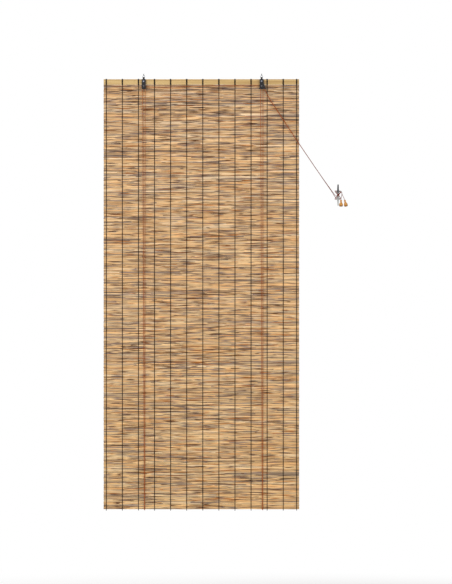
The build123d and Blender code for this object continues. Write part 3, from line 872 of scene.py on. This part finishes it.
def build_eye(side):
    """A screw eye: a wire ring, not quite closed on its shank, and a threaded shank."""
    low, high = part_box(f"{side}_screw_eye")
    x = (low.x + high.x) / 2
    outer = (high.x - low.x) / 2
    radius = outer - EYE_WIRE
    centre = low.z + outer
    start, end = math.radians(EYE_START), math.radians(EYE_START + EYE_TURN)
    angles = np.linspace(start, end, EYE_RINGS)
    level = np.zeros(EYE_RINGS)
    across = np.stack([np.cos(angles), level, np.sin(angles)], axis=1)
    xs, zs = x + radius * np.cos(angles), centre + radius * np.sin(angles)
    wire = np.full(EYE_RINGS, EYE_WIRE)
    grey = np.full((EYE_RINGS, 3), 0.5)
    deep = np.tile(ALONG_Y, (EYE_RINGS, 1))
    tubes = Tubes(10)
    tubes.add(np.stack([xs, level, zs], axis=1), wire, wire, grey, across, deep)

    seat = centre + radius
    profile = [(0.0, seat - 0.0002), (0.0010, seat), (0.0015, seat + 0.0008)]
    z = seat + 0.0013
    while z < high.z - 0.0022:
        profile += [(THREAD_ROOT, z), (THREAD_TOP, z + 0.00035), (THREAD_ROOT, z + 0.0007)]
        z += THREAD_PITCH
    profile += [(0.0012, high.z - 0.0015), (0.0, high.z)]
    shank = lathe(f"eye_shank_{side}", profile, (x, 0, 0), (0, 0, 1), 20)
    eye = tubes.make(f"eye_ring_{side}")
    add_piece(eye, "bright_metal", "blind", f"{side}_screw_eye")
    add_piece(shank, "black_metal", "blind", f"{side}_screw_eye")


for eye_side in ("left", "right"):
    build_eye(eye_side)


# Nodes whose shape stands as it is: the first word that is found in the name gives the finish
NODE_FINISHES = (
    ("housing", "black_metal"),
    ("wheel", "wheel_nylon"),
    ("spacer", "wheel_nylon"),
    ("guide", "wheel_nylon"),
    ("pull", "pull_wood"),
    ("cleat", "cleat_steel"),
    ("batten", "bamboo"),
    ("yarn", "yarn"),
    ("knot", "cord"),
    ("cord", "cord"),
    ("reed_mat", "reed"),
    ("axle_rivet", "worn_metal"),
    ("roller", "worn_metal"),
    ("", "bright_metal"),
)
for name, obj in nodes.items():
    finish(obj, next(found for word, found in NODE_FINISHES if word in name))


# Lift cords: each is one smooth line, from its knot in the housing to its pull. The points are in
# millimetres, as the part's source has them, with one near each place where a long run turns.
LEFT_ROUTE = [
    # up from the knot, over the bolt and down the front
    (-308.5, -3.6, -40.0), (-309.4, -3.6, -24.3), (-294.3, -3.6, -24.8), (-294.5, -3.6, -40.0),
    # under the bottom edge, up the back, over the rear guide and down
    (-295.8, 2.1, -2211.7), (-295.8, 2.1, -2226.1), (-295.8, 15.3, -2226.1),
    (-295.8, 15.3, -2211.7), (-294.5, 15.6, -40.0), (-294.5, 15.6, -25.5),
    (-308.5, 15.6, -25.5), (-308.5, 15.6, -40.0),
    # under the bottom edge and up the front to the wheel
    (-298.6, 15.3, -2211.7), (-298.6, 15.3, -2226.1), (-298.6, 2.1, -2226.1),
    (-298.6, 2.1, -2211.7), (-306.9, 0.5, -68.0), (-307.2, 0.5, -54.4), (-304.5, 0.5, -51.2),
    (-300.2, 0.5, -50.4),
    # across to the right pulley
    (-280.5, 0.5, -62.3), (-232.0, 0.4, -64.6), (-165.0, 0.3, -62.5), (-100.0, 0.3, -59.6),
    (0.0, 0.4, -57.0), (130.0, 0.5, -54.2), (288.5, 0.5, -51.1), (303.0, 0.5, -50.9),
    (305.7, 0.5, -52.4),
    # down to the cleat
    (319.2, 0.6, -76.7), (337.7, 0.8, -118.0), (378.7, 1.1, -179.4), (455.6, 1.6, -297.0),
    (514.1, 2.2, -383.9), (566.3, 4.6, -460.6), (619.1, 7.4, -537.3), (664.0, 10.6, -601.5),
    (672.0, 11.6, -616.0),
    # round it, crossing its front three times
    (679.0, 12.2, -626.0), (686.0, 12.7, -629.6), (699.5, 12.7, -629.6), (705.0, 8.0, -627.5),
    (701.5, 2.8, -623.0), (683.0, 2.8, -604.5), (679.8, 8.0, -600.0), (685.5, 12.7, -598.6),
    (699.5, 12.7, -598.6), (707.0, 9.5, -597.5), (709.8, 1.5, -594.5), (706.5, -4.9, -598.3),
    (700.5, -4.9, -609.0), (687.0, -4.9, -623.5), (677.0, -2.5, -630.5), (676.0, 7.5, -636.4),
    (683.5, 12.8, -636.1), (699.0, 12.8, -636.1), (704.6, 9.0, -636.3), (704.4, -3.5, -632.6),
    (701.5, -7.5, -621.5), (687.0, -7.5, -602.8), (677.0, -5.5, -597.0), (675.5, 5.5, -592.5),
    (683.0, 12.8, -592.3), (699.5, 12.8, -592.3), (708.0, 10.5, -593.5),
    # down to the pull
    (712.3, 6.4, -601.5), (711.8, 4.0, -612.5), (709.4, 0.8, -625.0), (707.3, -1.0, -639.0),
    (707.3, -1.0, -662.0),
]
RIGHT_ROUTE = [
    # up from the knot, over the bolt and down the front
    (294.5, -2.5, -40.0), (293.6, -2.5, -24.3), (308.7, -2.5, -24.8), (308.5, -2.5, -40.0),
    # under the bottom edge, up the back, over the rear guide and down
    (307.6, 2.1, -2211.7), (307.6, 2.1, -2226.1), (307.6, 15.3, -2226.1), (307.6, 15.3, -2211.7),
    (308.5, 15.6, -40.0), (308.5, 15.6, -25.5), (294.5, 15.6, -25.5), (294.5, 15.6, -40.0),
    # under the bottom edge and up the front to the wheel
    (304.8, 15.3, -2211.7), (304.8, 15.3, -2226.1), (304.8, 2.1, -2226.1), (304.8, 2.1, -2211.7),
    (296.0, -5.5, -68.3), (295.8, -5.5, -53.9), (299.9, -5.5, -50.6), (305.7, -5.5, -51.3),
    # down to the cleat
    (319.3, -5.4, -76.8), (338.8, -5.0, -118.0), (379.8, -4.4, -179.1), (456.6, -3.3, -296.5),
    (515.0, -2.2, -383.3), (567.2, 0.4, -460.1), (620.0, 3.0, -536.9), (664.0, 6.2, -597.0),
    (673.0, 6.6, -610.0),
    # round it, crossing its front three times
    (679.0, 2.8, -619.6), (683.5, 0.2, -619.8), (699.5, 0.2, -604.6), (703.2, 3.2, -600.6),
    (703.2, 9.5, -595.4), (698.0, 12.8, -595.7), (685.5, 12.8, -595.8), (679.2, 8.5, -596.8),
    (679.6, -1.0, -601.5), (685.0, -2.3, -606.5), (700.0, -2.3, -621.5), (705.6, 0.5, -628.5),
    (705.5, 9.5, -632.5), (699.5, 12.8, -632.4), (685.5, 12.8, -632.4), (679.2, 9.5, -632.0),
    (680.5, 1.0, -627.5), (686.2, 0.2, -621.2), (701.0, 0.2, -606.4), (706.0, 0.4, -601.6),
    # down to the pull
    (711.0, 0.9, -600.5), (714.0, -2.6, -612.5), (720.7, -4.4, -626.5), (726.4, -5.0, -639.6),
    (731.5, -5.0, -662.2),
]
CORD_DIAMETER = 0.0024


def lay_cord(name, route, side, replaced):
    """A cord along its route, with the pull on its end, from the last point but one down."""
    pull = build_pull(side, route[-2], route[-1])
    curve = bpy.data.curves.new(name, "CURVE")
    curve.dimensions = "3D"
    curve.resolution_u = 14
    curve.bevel_depth = CORD_DIAMETER / 2
    curve.bevel_resolution = 3
    curve.use_fill_caps = True
    spline = curve.splines.new("NURBS")
    spline.points.add(len(route) - 1)
    for point, place in zip(spline.points, route):
        point.co = (place[0] * MM, place[1] * MM, place[2] * MM, 1)
    spline.order_u = 3
    spline.use_endpoint_u = True
    cord = show(name, curve)
    add_piece(cord, "cord", "blind", *replaced)


left_nodes = ["left_lift_cord", "left_cord_tail", "cord_winding"]
right_nodes = ["right_lift_cord", "right_cord_tail"]
lay_cord("lift_cord_left", LEFT_ROUTE, "left", left_nodes)
lay_cord("lift_cord_right", RIGHT_ROUTE, "right", right_nodes)


# Camera straight in front, as in the photograph, with a long lens
PICTURE_HEIGHT = 2.987
PICTURE_CENTRE = (0.1193, -1.1101)


def make_camera():
    data = bpy.data.cameras.new("camera")
    data.lens = 250
    data.sensor_width = 36
    data.clip_end = 200
    camera = show("camera", data)
    distance = PICTURE_HEIGHT * data.lens / data.sensor_width
    camera.location = (PICTURE_CENTRE[0], -distance, PICTURE_CENTRE[1])
    camera.rotation_euler = (math.radians(90), 0, 0)
    scene.camera = camera


# Soft lamps round the blind, a white world, and a pale floor below
LAMP_AIM = (0.1, 0.0, -1.1)
WORLD_STRENGTH = 0.5
FLOOR_Z = -2.75
FLOOR_HALF_SIZE = 20
FLOOR_GREY = (0.86, 0.86, 0.86, 1)
FLOOR_FADE = (1.0, 3.2)


def add_lamp(name, place, size, power):
    data = bpy.data.lights.new(name, "AREA")
    data.shape = "RECTANGLE"
    data.size = data.size_y = size
    data.energy = power
    lamp = show(name, data)
    lamp.location = place
    turn = (Vector(LAMP_AIM) - Vector(place)).to_track_quat("-Z", "Y")
    lamp.rotation_euler = turn.to_euler()
    lamp.visible_camera = False


def math_node(tree, operation, first, second):
    made = tree.nodes.new("ShaderNodeMath")
    made.operation = operation
    tree.links.new(first, made.inputs[0])
    tree.links.new(second, made.inputs[1])
    return made.outputs[0]


def seen_by_viewer(tree):
    """1 for rays from the camera, reflections and what is seen through a piece, or else 0."""
    path = tree.nodes.new("ShaderNodeLightPath").outputs
    seen = math_node(tree, "MAXIMUM", path["Is Camera Ray"], path["Is Glossy Ray"])
    return math_node(tree, "MAXIMUM", seen, path["Is Transmission Ray"])


def mix_white(tree, share, plain, shader, target):
    """Mixes a share of plain white, by the shader of that name, into what goes to the target."""
    white = tree.nodes.new(shader)
    white.inputs["Color"].default_value = WHITE
    white.inputs["Strength"].default_value = 1.0
    mix = tree.nodes.new("ShaderNodeMixShader")
    tree.links.new(share, mix.inputs[0])
    tree.links.new(plain.outputs[0], mix.inputs[1])
    tree.links.new(white.outputs[0], mix.inputs[2])
    tree.links.new(mix.outputs[0], tree.nodes[target].inputs["Surface"])


def make_world():
    world = bpy.data.worlds.new("studio")
    scene.world = world
    world.use_nodes = True
    tree = world.node_tree
    soft = tree.nodes["Background"]
    soft.inputs["Color"].default_value = WHITE
    soft.inputs["Strength"].default_value = WORLD_STRENGTH
    mix_white(tree, seen_by_viewer(tree), soft, "ShaderNodeBackground", "World Output")


def make_floor():
    """A wide pale floor that fades to the white of the background away from the blind."""
    mesh = bpy.data.meshes.new("floor")
    editor = bmesh.new()
    bmesh.ops.create_grid(editor, x_segments=8, y_segments=8, size=FLOOR_HALF_SIZE)
    editor.to_mesh(mesh)
    editor.free()
    floor = show("floor", mesh)
    floor.location = (0, 0, FLOOR_Z)
    material = bpy.data.materials.new("floor")
    material.use_nodes = True
    tree = material.node_tree
    plain = tree.nodes["Principled BSDF"]
    plain.inputs["Base Color"].default_value = FLOOR_GREY
    plain.inputs["Roughness"].default_value = 0.9
    place = tree.nodes.new("ShaderNodeTexCoord")
    away = tree.nodes.new("ShaderNodeVectorMath")
    away.operation = "LENGTH"
    tree.links.new(place.outputs["Object"], away.inputs[0])
    fade = tree.nodes.new("ShaderNodeMapRange")
    fade.interpolation_type = "SMOOTHSTEP"
    fade.inputs["From Min"].default_value = FLOOR_FADE[0]
    fade.inputs["From Max"].default_value = FLOOR_FADE[1]
    tree.links.new(away.outputs["Value"], fade.inputs["Value"])
    share = math_node(tree, "MULTIPLY", seen_by_viewer(tree), fade.outputs["Result"])
    mix_white(tree, share, plain, "ShaderNodeEmission", "Material Output")
    mesh.materials.append(material)


scene.view_settings.view_transform = "Standard"
make_camera()
make_world()
make_floor()
add_lamp("key", (-2.6, -4.2, 1.6), 2.4, 150)
add_lamp("fill", (3.4, -4.4, -0.4), 2.6, 80)
add_lamp("rear", (-1.5, 4.6, 1.2), 2.6, 110)
